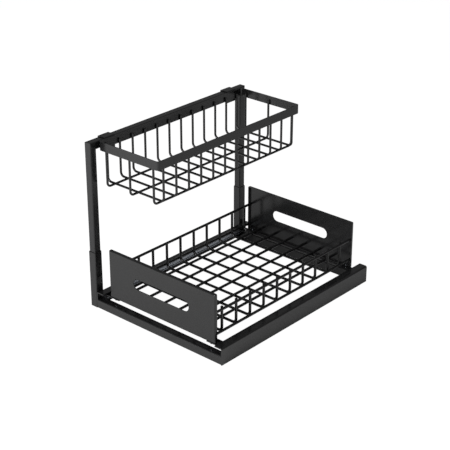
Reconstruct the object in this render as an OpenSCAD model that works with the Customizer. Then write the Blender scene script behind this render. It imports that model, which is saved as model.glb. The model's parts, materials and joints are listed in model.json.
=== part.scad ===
/* [Base] */
// Width of the base, along the drawer's travel
base_w = 430; // [400:1:470]
// Depth of the base, front plate to the back of the posts
base_d = 336.6; // [310:0.1:370]
// Height of the side rails
rail_h = 18; // [16:0.5:18]
// Width of the side rails
rail_w = 16.5; // [14:0.5:20]
// Wall of the side rails' tube
rail_wall = 1.2; // [1:0.1:1.8]
// Outer corner radius of every square tube
tube_r = 2; // [1.9:0.1:2.4]
// Sheet thickness of the long rails
sheet_t = 2; // [1.5:0.1:2.2]
// Outer bend radius of the long rails
bend_r = 3.2; // [2.5:0.1:4]
// Height of the long rails
plate_h = 34; // [34:0.5:38]
// Depth of the flange along the top of each long rail
flange_d = 17.5; // [17:0.1:22]
// Gap between the back long rail and the floor
back_lift = 5; // [2:0.5:8]

/* [Posts and beam] */
// Side of the square sleeves that stand at the back corners
sleeve_w = 17.6; // [17:0.1:19]
// Wall of the sleeves
sleeve_wall = 1.1; // [1:0.1:1.4]
// Height of the sleeves
sleeve_h = 115; // [90:1:140]
// Running clearance of the upper tubes in the sleeves, each side
sleeve_fit = 0.1; // [0.05:0.05:0.1]
// Wall of the upper tubes
tube_wall = 1.2; // [1:0.1:1.8]
// Height of the beam's top above the floor
beam_top = 335.6; // [300:0.1:400]
// Height of the plug that closes the foot of each sleeve
plug_h = 12; // [6:0.5:20]

/* [Runners] */
// Travel of the drawer
travel = 300; // [200:5:310]
// Height of the fixed runner channel
run_h = 12.4; // [12.2:0.1:12.6]
// Gap between the fixed runner channel and the long rail's bend above it
run_gap = 0.1; // [0:0.05:0.2]
// Wall of the runner channels
run_t = 1.2; // [1:0.1:1.3]
// Depth of the fixed runner channel
run_d = 9.2; // [9:0.1:9.4]
// Diameter of the runner balls
ball_d = 3; // [2.8:0.1:3]
// Running clearance of a ball in its groove
ball_fit = 0.05; // [0.02:0.01:0.1]
// Depth of each ball groove
groove_d = 0.35; // [0.2:0.05:0.4]
// Distance from the long rail's sheet to the balls' centres
ball_s = 5.4; // [5.2:0.1:5.6]
// Balls in each row
ball_n = 6; // [4:1:7]
// Sheet thickness of the ball cages
cage_t = 0.6; // [0.5:0.1:0.8]
// Length of the rubber buffers
buffer_l = 2; // [1.5:0.1:3]

/* [Drawer] */
// Distance from the base's left end to the drawer's front panel
drawer_in = 11; // [9:0.5:12]
// Length of the drawer over its end panels
drawer_l = 404.3; // [380:0.1:410]
// Gap between the drawer's side and the flange
drawer_gap = 8.2; // [7:0.1:12]
// Height of the end panels' lower edge above the floor
drawer_z = 28.3; // [28:0.1:29]
// Height of the end panels
drawer_h = 99.2; // [85:0.1:115]
// Depth of the end panels over their turned edges
pan_d = 5.8; // [5:0.1:8]
// Sheet thickness of the end panels
pan_t = 1.5; // [1.2:0.1:1.8]
// Outer radius of the end panels' edges and corners
pan_r = 2.6; // [2.2:0.1:3]
// Length of the handle slots
slot_l = 140; // [100:1:160]
// Height of the handle slots
slot_h = 22.5; // [20:0.5:26]
// Height of the handle slots' centre above the panels' lower edge
slot_z = 51.7; // [46:0.1:58]
// Diameter of the tray's wires
wire_d = 5.2; // [4.5:0.1:5.4]
// Gap left at each crossing of two wires
weld_gap = 0.05; // [0:0.01:0.1]
// Number of bent wires across the tray
tray_n = 10; // [6:1:10]
// Spacing of the bent wires across the tray
tray_pitch = 38.4; // [34:0.1:40]
// Distance from the end panels' side edges to the bent wires
tray_in = 10.2; // [10:0.1:12]
// Height of the bent wires' floor above the end panels' lower edge
tray_up = 11.7; // [9:0.1:14]
// Height of the tray's wire wall
tray_wall = 51; // [40:0.5:60]
// Bend radius of the tray's wires
tray_bend = 9; // [7:0.5:12]
// Number of straight wires along the tray's floor
floor_n = 6; // [4:1:7]
// Spacing of the straight wires along the tray's floor
floor_pitch = 37.5; // [30:0.5:38]
// Height of the side wires above the bent wires' floor
side_up = 4.5; // [4:0.1:7]

/* [Drawer brackets] */
// Length of each bracket, along the drawer's travel
bracket_l = 18; // [16:0.5:22]
// Sheet thickness of the brackets
bracket_t = 2; // [1.8:0.1:2.2]
// Reach of each bracket under its end panel
bracket_in = 22; // [16:0.5:30]
// Diameter of the bracket screws
screw_d = 3; // [2:0.1:3]
// Head diameter of the bracket screws
head_d = 5.2; // [4.6:0.1:5.4]
// Head height of the bracket screws
head_h = 1.8; // [1.5:0.1:2]
// Width over corners of the hexagon socket in the screws
hex_d = 2.2; // [1.8:0.1:2.6]
// Length of the bracket screws under the head
screw_l = 6; // [5:0.1:8]
// Distance from the end panels' side edges to the bracket screws
screw_in = 12; // [9:0.5:14]
// Clearance of the bracket screws in their holes
screw_fit = 0.1; // [0.05:0.05:0.2]

/* [Upper basket] */
// Length of the basket's rim
rim_l = 394; // [370:1:400]
// Depth of the basket's rim, front to back
rim_w = 151; // [130:1:155]
// Distance of the rim's centre to the right of the base's centre
rim_x = 2; // [0:0.5:4]
// Height of the rim's flat bar
rim_h = 17.2; // [15:0.1:20]
// Thickness of the rim's flat bar
rim_t = 1.8; // [1.5:0.1:2.2]
// Outer corner radius of the rim
rim_r = 6; // [4:0.5:10]
// Height of the rim's top above the beam's top
rim_up = 0.4; // [0:0.1:1]
// Diameter of the basket's wires
thin_d = 4.4; // [4:0.1:4.8]
// Number of bent wires across the basket
cross_n = 12; // [8:1:12]
// Spacing of the bent wires across the basket
cross_pitch = 32.7; // [28:0.1:33]
// Height of the basket's floor wires below the rim's top
basket_h = 82.6; // [60:0.1:95]
// Bend radius of the basket's wires
basket_bend = 8; // [6:0.5:12]
// Number of bent wires along the basket
long_n = 3; // [2:1:4]
// Spacing of the bent wires along the basket
long_pitch = 59.7; // [30:0.1:62]
// Overlap of the wires' tips on the rim
tip_lap = 9.5; // [6:0.5:14]

/* [Hooks] */
// Width of each hook
hook_w = 25; // [20:1:35]
// Thickness of the hooks' strap
hook_t = 1.8; // [1.5:0.1:2.2]
// Distance from the rim's ends to the hooks' middle
hook_in = 29; // [22:0.5:60]
// Gap between the hooks and the beam
hook_gap = 0.3; // [0.2:0.05:0.5]
// Length of the hook's tongue below the rim
hook_drop = 5.4; // [3:0.1:8]
// Length of the hook's leg behind the beam
hook_leg = 12; // [8:0.5:15]

/* [Hidden] */
$fn = 48;
eps = 0.01;
stop_gap = 0.3;

WIRES = [for (i = [1:tray_n]) str("tray_wire_", i)];
LONGS = [for (i = [1:floor_n]) str("tray_rod_", i)];
CROSS = [for (i = [1:cross_n]) str("basket_wire_", i)];
FIXED = ["side_rail_left", "side_rail_right", "long_rail_front", "long_rail_back",
  "post_sleeve_left", "post_sleeve_right", "foot_plugs", "post_tube_left", "post_tube_right",
  "top_beam", "runner_channel_front", "runner_channel_back", "runner_buffers",
  "slide_bar_front", "slide_bar_back", "ball_cage_front", "ball_cage_back",
  "runner_balls_front", "runner_balls_back", "end_panel_left", "end_panel_right",
  "drawer_brackets", "bracket_screws", "tray_top_wires", "tray_side_wires",
  "basket_rim", "basket_long_wires", "hook_left", "hook_right"];

// Upper tube, and the place of the beam between the sleeves' walls
tube_w = sleeve_w - 2 * (sleeve_wall + sleeve_fit);
tube_in = sleeve_wall + sleeve_fit;
hook_out = hook_gap + hook_t - tube_in;

// The origin is the middle of the whole footprint, on the floor
y_front = -(base_d + hook_out) / 2;
y_back = y_front + base_d;
x_left = -base_w / 2;
post_y = y_back - sleeve_w;

// Runner heights, upwards, and the drawer's sides
run_top = plate_h - bend_r - run_gap;
run_z = run_top - run_h;
run_mid = run_z + run_h / 2;
run_x0 = x_left + rail_w + 0.5;
run_l = base_w - 2 * (rail_w + 0.5);
run_s = sheet_t;
ball_r = ball_d / 2;
groove_r = ball_r + ball_fit;
ball_off = run_h / 2 - run_t - groove_r + groove_d;
bar_h = 2 * (ball_off - groove_r + groove_d);
bar_s0 = 3;
bar_s1 = run_d + 0.4;
bar_x1 = run_x0 + run_l - run_t - buffer_l - stop_gap;
bar_l = bar_x1 - run_x0;
cage_x0 = run_x0 + travel / 2 + run_t + stop_gap;
cage_l = bar_x1 - run_t - travel / 2 - stop_gap - cage_x0;
cage_s0 = run_t + 0.4;
cage_s1 = 8;
ball_pitch = cage_l / ball_n;

drawer_x = x_left + drawer_in;
drawer_y = y_front + flange_d + drawer_gap;
drawer_w = post_y - flange_d - drawer_gap - drawer_y;
drawer_mid = drawer_y + drawer_w / 2;
drawer_cx = drawer_x + drawer_l / 2;
tray_half = drawer_w / 2 - tray_in;
tray_z = drawer_z + tray_up;
tray_top = tray_z + tray_wall;
rod_l = drawer_l - 2 * pan_t - 2 * weld_gap;
panel_s = flange_d + drawer_gap - run_s;
bracket_z = drawer_z - weld_gap - bracket_t;
screw_out = (pan_t + pan_d) / 2;

rim_back = y_back - tube_in - tube_w - hook_gap - hook_t;
rim_front = rim_back - rim_w;
rim_top = beam_top + rim_up;
rim_x0 = rim_x - rim_l / 2;
floor_z = rim_top - basket_h;
thin_in = rim_t + thin_d / 2 + weld_gap;
tip_z = rim_top - rim_h + tip_lap;

black = [0.06, 0.06, 0.065];
coat = [0.16, 0.16, 0.17];
steel = [0.62, 0.64, 0.66];

function spread(n, pitch, i) = (i - (n + 1) / 2) * pitch;

module rounded(size, r) {
  translate([r, 0]) square([size[0] - 2 * r, size[1]]);
  translate([0, r]) square([size[0], size[1] - 2 * r]);
  for (x = [r, size[0] - r], y = [r, size[1] - r]) translate([x, y]) circle(r);
}

module ring(size, r, wall) {
  difference() {
    rounded(size, r);
    translate([wall, wall]) rounded(size - [2 * wall, 2 * wall], r - wall);
  }
}

// Extrudes a profile along X, with its first axis along Y and its second along Z
module along_x(length) {
  rotate([90, 0, 90]) linear_extrude(length) children();
}

// Extrudes a profile along Y, with its first axis along X and its second along Z
module along_y(length) {
  translate([0, length, 0]) rotate([90, 0, 0]) linear_extrude(length) children();
}

module side_rail(x) {
  color(coat) translate([x, y_front + sheet_t, 0])
    along_y(post_y - sheet_t - y_front - sheet_t) ring([rail_w, rail_h], tube_r, rail_wall);
}

module angle_profile(height, depth) {
  square([sheet_t, height - bend_r]);
  translate([bend_r, height - sheet_t]) square([depth - bend_r, sheet_t]);
  intersection() {
    translate([0, height - bend_r]) square(bend_r);
    translate([bend_r, height - bend_r]) difference() {
      circle(bend_r);
      circle(bend_r - sheet_t);
    }
  }
}

module long_rail_front() {
  color(coat) translate([x_left, y_front, 0]) along_x(base_w) angle_profile(plate_h, flange_d);
}

module long_rail_back() {
  color(coat) translate([x_left, post_y, back_lift]) mirror([0, 1, 0])
    along_x(base_w) angle_profile(plate_h - back_lift, flange_d);
}

module post_sleeve(x) {
  color(coat) translate([x, post_y, 0])
    linear_extrude(sleeve_h) ring([sleeve_w, sleeve_w], tube_r, sleeve_wall);
}

module foot_plugs() {
  side = tube_w;
  color(black) for (x = [x_left, -x_left - sleeve_w])
    translate([x + tube_in, post_y + tube_in, 0])
      linear_extrude(plug_h) rounded([side, side], tube_r - sleeve_wall);
}

// Keeps what lies inside the mitre planes of the upper frame's corners
module mitre_keep(inside) {
  x0 = x_left + tube_in;
  z_in = beam_top - tube_w;
  translate([0, post_y - 1, 0]) along_y(sleeve_w + 2)
    if (inside)
      polygon([[x0, beam_top], [-x0, beam_top], [-x0 - tube_w, z_in], [x0 + tube_w, z_in]]);
    else
      polygon([[x0, 0], [x0, beam_top], [x0 + tube_w, z_in], [x0 + tube_w, 0]]);
}

module post_tube_left() {
  color(coat) intersection() {
    translate([x_left + tube_in, post_y + tube_in, plug_h + stop_gap])
      linear_extrude(beam_top - plug_h - stop_gap) ring([tube_w, tube_w], tube_r, tube_wall);
    mitre_keep(false);
  }
}

module post_tube_right() {
  mirror([1, 0, 0]) post_tube_left();
}

module top_beam() {
  color(coat) intersection() {
    translate([x_left + tube_in, post_y + tube_in, beam_top - tube_w])
      along_x(base_w - 2 * tube_in) ring([tube_w, tube_w], tube_r, tube_wall);
    mitre_keep(true);
  }
}

// Places a runner piece, drawn for the front rail, at the front or at the back
module at_side(back) {
  if (back) translate([0, post_y, 0]) mirror([0, 1, 0]) translate([0, run_s, 0]) children();
  else translate([0, y_front + run_s, 0]) children();
}

module groove(x, length, z, r) {
  translate([x, ball_s, z]) rotate([0, 90, 0]) cylinder(h = length, r = r);
}

module runner_channel(back) {
  color(steel) at_side(back) {
    difference() {
      translate([run_x0, 0, run_z]) cube([run_l, run_d, run_h]);
      translate([run_x0 + run_t, run_t, run_z + run_t])
        cube([run_l - 2 * run_t, run_d, run_h - 2 * run_t]);
      translate([run_x0 - 1, cage_s0 + 1, run_z + run_t])
        cube([run_t + 2, run_d, run_h - 2 * run_t]);
      for (s = [-1, 1])
        groove(run_x0 - 1, run_l + 1 - run_t, run_mid + s * ball_off, groove_r);
    }
  }
}

module runner_buffers() {
  color(black) for (back = [false, true]) at_side(back)
    translate([run_x0 + run_l - run_t - buffer_l, bar_s0, run_mid - bar_h / 2])
      cube([buffer_l, bar_s1 - bar_s0 - 1, bar_h]);
}

module slide_bar(back) {
  z0 = run_mid - bar_h / 2;
  color(steel) at_side(back) {
    difference() {
      translate([run_x0, bar_s0, z0]) cube([bar_l, bar_s1 - bar_s0, bar_h]);
      translate([run_x0 - 1, bar_s0 - 1, z0 + run_t])
        cube([bar_l + 2, bar_s1 - bar_s0 + 1 - run_t, bar_h - 2 * run_t]);
      for (s = [-1, 1]) groove(run_x0 - 1, bar_l + 2, run_mid + s * ball_off, groove_r);
    }
    translate([bar_x1 - run_t, cage_s0, z0 + run_t])
      cube([run_t, bar_s1 - cage_s0, bar_h - 2 * run_t]);
  }
}

function ball_xs() = [for (i = [1:ball_n]) cage_x0 + (i - 0.5) * ball_pitch];

module ball_cage(back) {
  leg = ball_off + cage_t / 2;
  color(steel) at_side(back) difference() {
    translate([cage_x0, cage_s0, run_mid - leg]) cube([cage_l, cage_s1 - cage_s0, 2 * leg]);
    translate([cage_x0 - 1, cage_s0 + cage_t, run_mid - leg + cage_t])
      cube([cage_l + 2, cage_s1, 2 * (leg - cage_t)]);
    for (x = ball_xs())
      translate([x, ball_s, run_mid - leg - 1]) cylinder(h = 2 * leg + 2, r = ball_r + ball_fit);
  }
}

module runner_balls(back) {
  color(steel) at_side(back) for (x = ball_xs(), s = [-1, 1])
    translate([x, ball_s, run_mid + s * ball_off]) sphere(ball_r);
}

// A slab in the YZ plane whose outer edges and corners, at x = 0, are rounded
module soft_slab(depth, width, height, r) {
  translate([r, 0, 0]) along_x(depth - r) rounded([width, height], r);
  translate([0, r, r]) cube([r + eps, width - 2 * r, height - 2 * r]);
  for (y = [r, width - r]) translate([r, y, r]) cylinder(h = height - 2 * r, r = r);
  for (z = [r, height - r]) translate([r, r, z]) rotate([-90, 0, 0]) cylinder(h = width - 2 * r, r = r);
  for (y = [r, width - r], z = [r, height - r]) translate([r, y, z]) sphere(r);
}

module end_pan() {
  difference() {
    soft_slab(pan_d, drawer_w, drawer_h, pan_r);
    translate([pan_t, pan_t, pan_t])
      soft_slab(pan_d, drawer_w - 2 * pan_t, drawer_h - 2 * pan_t, pan_r - pan_t);
    translate([-1, drawer_w / 2 - slot_l / 2, slot_z - slot_h / 2])
      along_x(pan_t + 2) slot_profile();
    for (y = [screw_in, drawer_w - screw_in]) translate([screw_out, y, -1]) screw_hole(pan_t + 2);
  }
}

module screw_hole(depth) {
  cylinder(h = depth, d = screw_d + 2 * screw_fit);
}

module slot_profile() {
  r = slot_h / 2;
  translate([r, 0]) square([slot_l - slot_h, slot_h]);
  for (x = [r, slot_l - r]) translate([x, r]) circle(r);
}

module end_panel_left() {
  color(coat) translate([drawer_x, drawer_y, drawer_z]) end_pan();
}

module end_panel_right() {
  color(coat) translate([drawer_x + drawer_l, drawer_y, drawer_z]) mirror([1, 0, 0]) end_pan();
}

// Brackets join the ends of the slide bars to the end panels' lower edges
function bracket_xs() = [drawer_x + 1, drawer_x + drawer_l - 1 - bracket_l];
function screw_xs() = [drawer_x + screw_out, drawer_x + drawer_l - screw_out];

module drawer_bracket(x) {
  s0 = bar_s1 + weld_gap;
  z0 = run_mid - bar_h / 2;
  reach = panel_s + bracket_in;
  difference() {
    union() {
      translate([x, s0, z0]) cube([bracket_l, bracket_t, bracket_z + bracket_t - z0]);
      translate([x, s0, bracket_z]) cube([bracket_l, reach - s0, bracket_t]);
    }
    for (xs = screw_xs()) translate([xs, panel_s + screw_in, bracket_z - 1]) screw_hole(bracket_t + 2);
  }
}

module drawer_brackets() {
  color(coat) for (back = [false, true], x = bracket_xs()) at_side(back) drawer_bracket(x);
}

module bracket_screws() {
  color(steel) for (back = [false, true], x = screw_xs()) at_side(back)
    translate([x, panel_s + screw_in, bracket_z - weld_gap]) {
      difference() {
        mirror([0, 0, 1]) cylinder(h = head_h, d1 = head_d, d2 = head_d - 1);
        translate([0, 0, -head_h - 1]) cylinder(h = 2, d = hex_d, $fn = 6);
      }
      cylinder(h = screw_l, d = screw_d);
    }
}

module wire(length, d) {
  chamfer = d / 6;
  cylinder(h = length - chamfer, d = d);
  translate([0, 0, length - chamfer]) cylinder(h = chamfer, d1 = d, d2 = d - 2 * chamfer);
}

module straight_wire(length, d) {
  rotate([0, 90, 0]) cylinder(h = length, d = d);
}

// A U of wire in the YZ plane: its floor at z = 0, its legs at y = 0 and y = width
module u_wire(width, height, r, d) {
  for (y = [0, width]) translate([0, y, r]) wire(height - r, d);
  translate([0, r, 0]) rotate([-90, 0, 0]) cylinder(h = width - 2 * r, d = d);
  translate([0, r, r]) rotate([0, 90, 0]) rotate([0, 0, -90]) bend(r, d);
  translate([0, width - r, r]) rotate([0, 90, 0]) bend(r, d);
}

module bend(r, d) {
  rotate_extrude(angle = 90) translate([r, 0]) circle(d = d);
}

module tray_wire(i) {
  color(black) translate([drawer_cx + spread(tray_n, tray_pitch, i), drawer_mid - tray_half, tray_z])
    u_wire(2 * tray_half, tray_wall, tray_bend, wire_d);
}

module tray_rod(i) {
  color(black) translate([drawer_x + pan_t + weld_gap,
      drawer_mid + spread(floor_n, floor_pitch, i), tray_z + wire_d + weld_gap])
    straight_wire(rod_l, wire_d);
}

module tray_pair(z) {
  for (s = [-1, 1])
    translate([drawer_x + pan_t + weld_gap, drawer_mid + s * (tray_half + wire_d + weld_gap), z])
      straight_wire(rod_l, wire_d);
}

module tray_top_wires() {
  color(black) tray_pair(tray_top - wire_d / 2);
}

module tray_side_wires() {
  color(black) tray_pair(tray_z + side_up);
}

module basket_rim() {
  color(coat) translate([rim_x0, rim_front, rim_top - rim_h])
    linear_extrude(rim_h) ring([rim_l, rim_w], rim_r, rim_t);
}

module basket_wire(i) {
  color(black) translate([rim_x + spread(cross_n, cross_pitch, i), rim_front + thin_in, floor_z])
    u_wire(rim_w - 2 * thin_in, tip_z - floor_z, basket_bend, thin_d);
}

module basket_long_wires() {
  low = floor_z - thin_d - weld_gap;
  color(black) for (i = [1:long_n])
    translate([rim_x0 + rim_l - thin_in, rim_front + rim_w / 2 + spread(long_n, long_pitch, i), low])
      rotate([0, 0, 90]) u_wire(rim_l - 2 * thin_in, tip_z - low, basket_bend, thin_d);
}

module hook_profile() {
  top = beam_top + hook_gap;
  low = rim_top - rim_h - hook_drop;
  width = hook_t + hook_gap + tube_w + hook_gap + hook_t;
  r = hook_t + 0.6;
  translate([0, low]) square([hook_t, top + hook_t - r - low]);
  translate([width - hook_t, top - hook_leg]) square([hook_t, hook_leg + hook_t - r]);
  translate([r, top]) square([width - 2 * r, hook_t]);
  for (side = [0, 1]) translate([side * width, 0]) mirror([side, 0])
    intersection() {
      translate([0, top + hook_t - r]) square(r);
      translate([r, top + hook_t - r]) difference() {
        circle(r);
        circle(r - hook_t);
      }
    }
}

module hook(x) {
  color(coat) translate([x - hook_w / 2, rim_back, 0]) along_x(hook_w) hook_profile();
}

side_rail(x_left);  // side_rail_left
side_rail(-x_left - rail_w);  // side_rail_right
long_rail_front();
long_rail_back();
post_sleeve(x_left);  // post_sleeve_left
post_sleeve(-x_left - sleeve_w);  // post_sleeve_right
foot_plugs();
post_tube_left();
post_tube_right();
top_beam();
runner_channel(false);  // runner_channel_front
runner_channel(true);  // runner_channel_back
runner_buffers();
slide_bar(false);  // slide_bar_front
slide_bar(true);  // slide_bar_back
ball_cage(false);  // ball_cage_front
ball_cage(true);  // ball_cage_back
runner_balls(false);  // runner_balls_front
runner_balls(true);  // runner_balls_back
end_panel_left();
end_panel_right();
drawer_brackets();
bracket_screws();
tray_top_wires();
tray_side_wires();
basket_rim();
basket_long_wires();
hook(rim_x0 + hook_in);  // hook_left
hook(rim_x0 + rim_l - hook_in);  // hook_right
for (i = [1:tray_n]) tray_wire(i);
for (i = [1:floor_n]) tray_rod(i);
for (i = [1:cross_n]) basket_wire(i);
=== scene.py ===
# %% [markdown]
# # A two-tier under sink organizer
# The real object is steel: square tube, folded sheet, flat bar and wire, all powder coated black. The frame
# file holds every piece at its real place, so this script gives the pieces their finish and sets up the
# floor, the light and the camera. It adds no pieces of its own. Lengths are in metres.

# %% Load the frame
import json

import bpy
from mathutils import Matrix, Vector

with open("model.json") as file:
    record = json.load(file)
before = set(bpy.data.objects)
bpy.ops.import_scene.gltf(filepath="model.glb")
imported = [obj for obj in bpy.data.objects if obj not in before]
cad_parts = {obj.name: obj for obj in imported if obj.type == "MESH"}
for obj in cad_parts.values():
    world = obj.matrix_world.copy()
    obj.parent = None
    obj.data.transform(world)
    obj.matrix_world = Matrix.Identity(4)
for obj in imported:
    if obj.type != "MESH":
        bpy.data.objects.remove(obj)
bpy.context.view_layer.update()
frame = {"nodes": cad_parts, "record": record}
MM = 0.001

# %% [markdown]
# Colours are written as the sRGB hex values that a screen shows. Blender's shaders work with linear light,
# so one function turns each hex value to linear.


# %% Colour
def linear(code):
    channels = [int(code[i : i + 2], 16) / 255 for i in (1, 3, 5)]
    curve = [c / 12.92 if c <= 0.04045 else ((c + 0.055) / 1.055) ** 2.4 for c in channels]
    return (*curve, 1.0)


print("black coat in linear light:", [round(c, 4) for c in linear("#101010")[:3]])

# %% [markdown]
# A material is a small graph of nodes. One function adds any node, sets its settings and links its inputs,
# so each material below reads as a list of what it is made of.


# %% One node
def add(tree, kind, settings=None, links=None):
    node = tree.nodes.new(kind)
    for name, value in (settings or {}).items():
        if hasattr(node, name):
            setattr(node, name, value)
        else:
            node.inputs[name].default_value = value
    for name, output in (links or {}).items():
        tree.links.new(output, node.inputs[name])
    return node


def new_material(name):
    material = bpy.data.materials.new(name)
    material.use_nodes = True
    material.node_tree.nodes.clear()
    return material, material.node_tree


# %% [markdown]
# Powder coat is dry paint powder, melted onto the steel. It flows out to a skin about 0.08 mm thick that is
# smooth but never flat: the eye sees a fine orange peel, a few tenths of a millimetre to two millimetres
# across, and small changes in gloss where the skin is thicker. Two noises make the peel, a third, much
# wider, moves the gloss and the colour a little. The index of refraction of a polyester coat is about 1.5.


# %% Powder coat
COAT_CLOUD_MM = 70
COAT_GLOSS_DOWN, COAT_GLOSS_UP = 0.04, 0.05


def powder_coat(name, colour, light_colour, rough, peel_mm, peel_height_mm):
    material, tree = new_material(name)
    place = add(tree, "ShaderNodeTexCoord")
    peel = add(
        tree,
        "ShaderNodeTexNoise",
        {"Scale": 1 / (peel_mm * MM), "Detail": 3.0, "Roughness": 0.45},
        {"Vector": place.outputs["Object"]},
    )
    grit = add(
        tree,
        "ShaderNodeTexNoise",
        {"Scale": 4 / (peel_mm * MM), "Detail": 2.0, "Roughness": 0.6},
        {"Vector": place.outputs["Object"]},
    )
    cloud = add(
        tree,
        "ShaderNodeTexNoise",
        {"Scale": 1 / (COAT_CLOUD_MM * MM), "Detail": 4.0, "Roughness": 0.55},
        {"Vector": place.outputs["Object"]},
    )
    tint = add(
        tree,
        "ShaderNodeMix",
        {"data_type": "RGBA"},
        {"Factor": cloud.outputs["Fac"]},
    )
    tint.inputs[6].default_value = linear(colour)
    tint.inputs[7].default_value = linear(light_colour)
    gloss = add(
        tree,
        "ShaderNodeMapRange",
        {
            "From Min": 0.3,
            "From Max": 0.7,
            "To Min": rough - COAT_GLOSS_DOWN,
            "To Max": rough + COAT_GLOSS_UP,
        },
        {"Value": cloud.outputs["Fac"]},
    )
    fine = add(
        tree,
        "ShaderNodeBump",
        {"Strength": 0.25, "Distance": peel_height_mm * MM},
        {"Height": grit.outputs["Fac"]},
    )
    skin = add(
        tree,
        "ShaderNodeBump",
        {"Strength": 0.6, "Distance": peel_height_mm * MM},
        {"Height": peel.outputs["Fac"], "Normal": fine.outputs["Normal"]},
    )
    surface = add(
        tree,
        "ShaderNodeBsdfPrincipled",
        {"IOR": 1.5, "Metallic": 0.0},
        {
            "Base Color": tint.outputs[2],
            "Roughness": gloss.outputs["Result"],
            "Normal": skin.outputs["Normal"],
        },
    )
    add(tree, "ShaderNodeOutputMaterial", None, {"Surface": surface.outputs["BSDF"]})
    return material


coat = powder_coat("powder_coated_steel", "#101010", "#161617", 0.20, 1.4, 0.02)
wire_coat = powder_coat("powder_coated_wire", "#080808", "#0c0c0d", 0.18, 1.0, 0.015)
print("coats:", coat.name, wire_coat.name)

# %% [markdown]
# The runners are rolled from zinc-plated strip. Rolling leaves long fine lines along the strip, and the
# passivated zinc is a bright grey, a little blue in places. The lines are a noise squeezed along X, with 12
# cells to the metre along the strip and 900 across it.


# %% Zinc-plated steel
LINES_ALONG, LINES_ACROSS = 12.0, 900.0
ZINC_CLOUD_MM = 18
ZINC_GLOSS_DOWN, ZINC_GLOSS_UP = 0.06, 0.08
ROLLED_LINE_MM = 0.01


def zinc_plate(name, colour, blue, rough):
    material, tree = new_material(name)
    place = add(tree, "ShaderNodeTexCoord")
    squeeze = add(
        tree,
        "ShaderNodeMapping",
        {"Scale": (LINES_ALONG, LINES_ACROSS, LINES_ACROSS)},
        {"Vector": place.outputs["Object"]},
    )
    lines = add(
        tree,
        "ShaderNodeTexNoise",
        {"Scale": 1.0, "Detail": 3.0},
        {"Vector": squeeze.outputs["Vector"]},
    )
    cloud = add(
        tree,
        "ShaderNodeTexNoise",
        {"Scale": 1 / (ZINC_CLOUD_MM * MM), "Detail": 3.0},
        {"Vector": place.outputs["Object"]},
    )
    tint = add(tree, "ShaderNodeMix", {"data_type": "RGBA"}, {"Factor": cloud.outputs["Fac"]})
    tint.inputs[6].default_value = linear(colour)
    tint.inputs[7].default_value = linear(blue)
    gloss = add(
        tree,
        "ShaderNodeMapRange",
        {"To Min": rough - ZINC_GLOSS_DOWN, "To Max": rough + ZINC_GLOSS_UP},
        {"Value": lines.outputs["Fac"]},
    )
    drawn = add(
        tree,
        "ShaderNodeBump",
        {"Strength": 0.3, "Distance": ROLLED_LINE_MM * MM},
        {"Height": lines.outputs["Fac"]},
    )
    surface = add(
        tree,
        "ShaderNodeBsdfPrincipled",
        {"Metallic": 1.0},
        {
            "Base Color": tint.outputs[2],
            "Roughness": gloss.outputs["Result"],
            "Normal": drawn.outputs["Normal"],
        },
    )
    add(tree, "ShaderNodeOutputMaterial", None, {"Surface": surface.outputs["BSDF"]})
    return material


zinc = zinc_plate("zinc_plated_steel", "#b9bcc0", "#a9b0ba", 0.32)
ball_steel = zinc_plate("bearing_steel", "#cfd0d2", "#c4c6ca", 0.14)
print("metals:", zinc.name, ball_steel.name)

# %% [markdown]
# The plugs in the feet are moulded nylon and the runner buffers are rubber. Both are black and dull. Nylon
# keeps the fine spark texture of its mould, and rubber has a softer, wider grain.


# %% Nylon and rubber
GRAIN_HEIGHT_MM = 0.05


def moulded(name, colour, light_colour, rough, grain_mm):
    material, tree = new_material(name)
    place = add(tree, "ShaderNodeTexCoord")
    grain = add(
        tree,
        "ShaderNodeTexNoise",
        {"Scale": 1 / (grain_mm * MM), "Detail": 4.0},
        {"Vector": place.outputs["Object"]},
    )
    tint = add(tree, "ShaderNodeMix", {"data_type": "RGBA"}, {"Factor": grain.outputs["Fac"]})
    tint.inputs[6].default_value = linear(colour)
    tint.inputs[7].default_value = linear(light_colour)
    bump = add(
        tree,
        "ShaderNodeBump",
        {"Strength": 0.5, "Distance": GRAIN_HEIGHT_MM * MM},
        {"Height": grain.outputs["Fac"]},
    )
    surface = add(
        tree,
        "ShaderNodeBsdfPrincipled",
        {"IOR": 1.52, "Roughness": rough},
        {"Base Color": tint.outputs[2], "Normal": bump.outputs["Normal"]},
    )
    add(tree, "ShaderNodeOutputMaterial", None, {"Surface": surface.outputs["BSDF"]})
    return material


nylon = moulded("moulded_nylon", "#1a1a1a", "#242424", 0.55, 0.6)
rubber = moulded("rubber", "#141414", "#1c1c1c", 0.8, 1.1)
print("moulded:", nylon.name, rubber.name)

# %% [markdown]
# The record names one finish for each node. Each node's material slot takes the material that is made for
# that finish.

# %% Dress the nodes
finishes = {
    "powder_coat": coat,
    "wire_coat": wire_coat,
    "zinc_steel": zinc,
    "ball_steel": ball_steel,
    "black_plastic": nylon,
    "rubber": rubber,
}
for part in frame["record"]["subparts"]:
    mesh = frame["nodes"][part["node"]].data
    mesh.materials.clear()
    mesh.materials.append(finishes[part["material_slot"]])

# %% [markdown]
# The floor is a plain white sweep. The camera sees it as white, with a part of its real shading left in,
# so that the object keeps its soft shadow. The coated faces mirror the floor as it is really lit.

# %% Floor and world
FLOOR_SIZE = 12.0
FLOOR_DROP = 0.0002
SHADOW_SHARE = 0.10
FLOOR_WHITE = 1.08
ROOM_LEVEL = 0.18

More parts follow.
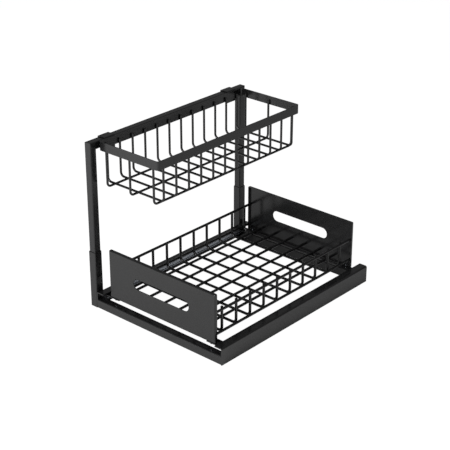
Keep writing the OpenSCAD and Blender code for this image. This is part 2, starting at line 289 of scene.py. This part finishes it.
bpy.ops.mesh.primitive_plane_add(size=FLOOR_SIZE, location=(0, 0, -FLOOR_DROP))
floor = bpy.context.object
floor.name = "floor"
paint, tree = new_material("floor_paint")
path = add(tree, "ShaderNodeLightPath")
lit = add(tree, "ShaderNodeBsdfDiffuse", {"Color": linear("#f2f2f2")})
white = add(tree, "ShaderNodeEmission", {"Color": (1, 1, 1, 1), "Strength": FLOOR_WHITE})
soft = add(tree, "ShaderNodeMixShader", {"Fac": SHADOW_SHARE})
tree.links.new(white.outputs[0], soft.inputs[1])
tree.links.new(lit.outputs[0], soft.inputs[2])
seen = add(tree, "ShaderNodeMixShader", None, {"Fac": path.outputs["Is Camera Ray"]})
tree.links.new(lit.outputs[0], seen.inputs[1])
tree.links.new(soft.outputs[0], seen.inputs[2])
add(tree, "ShaderNodeOutputMaterial", None, {"Surface": seen.outputs[0]})
floor.data.materials.append(paint)

world = bpy.data.worlds.new("studio")
bpy.context.scene.world = world
world.use_nodes = True
tree = world.node_tree
tree.nodes.clear()
path = add(tree, "ShaderNodeLightPath")
room = add(tree, "ShaderNodeBackground", {"Color": (1, 1, 1, 1), "Strength": ROOM_LEVEL})
backdrop = add(tree, "ShaderNodeBackground", {"Color": (1, 1, 1, 1), "Strength": 1.0})
pick = add(tree, "ShaderNodeMixShader", None, {"Fac": path.outputs["Is Camera Ray"]})
tree.links.new(room.outputs[0], pick.inputs[1])
tree.links.new(backdrop.outputs[0], pick.inputs[2])
add(tree, "ShaderNodeOutputWorld", None, {"Surface": pick.outputs[0]})
print("floor and world ready")

# %% [markdown]
# A large softbox at the left makes the grey of the faces that look left. A much weaker one in front keeps
# the faces there from going black, and a wide one overhead fills the rest. The powers are in watts.


# %% Lights
def softbox(name, place, target, size, power):
    data = bpy.data.lights.new(name, "AREA")
    data.shape = "RECTANGLE"
    data.size, data.size_y = size
    data.energy = power
    lamp = bpy.data.objects.new(name, data)
    bpy.context.scene.collection.objects.link(lamp)
    lamp.location = place
    lamp.rotation_mode = "QUATERNION"
    lamp.rotation_quaternion = (Vector(target) - Vector(place)).to_track_quat("-Z", "Y")
    return lamp


middle = (0, 0, 0.15)
softbox("left_box", (-2.2, 0.2, 1.2), middle, (1.8, 1.6), 75)
softbox("front_box", (0.6, -2.4, 1.3), middle, (1.6, 1.2), 6)
softbox("top_box", (-0.3, -0.2, 2.6), middle, (2.2, 2.2), 12)
print("lights:", len(bpy.data.lights))

# %% [markdown]
# The camera's place, aim and focal length were fitted to the straight edges of the photograph, with the
# base 430 mm long. The picture is square, so the sensor width is its full side.

# %% Camera
CAMERA_PLACE = Vector((-1677.8, -1480.5, 1201.3)) * MM
CAMERA_AIM = Vector((63.45, 71.99, 101.3)) * MM
FOCAL_MM = 103.81
SENSOR_MM = 36

camera_data = bpy.data.cameras.new("camera")
camera_data.sensor_width = SENSOR_MM
camera_data.lens = FOCAL_MM
camera = bpy.data.objects.new("camera", camera_data)
bpy.context.scene.collection.objects.link(camera)
camera.location = CAMERA_PLACE
camera.rotation_mode = "QUATERNION"
camera.rotation_quaternion = (CAMERA_AIM - CAMERA_PLACE).to_track_quat("-Z", "Y")
bpy.context.scene.camera = camera
bpy.context.scene.view_settings.view_transform = "Standard"
print("camera distance:", round((CAMERA_AIM - CAMERA_PLACE).length, 3))
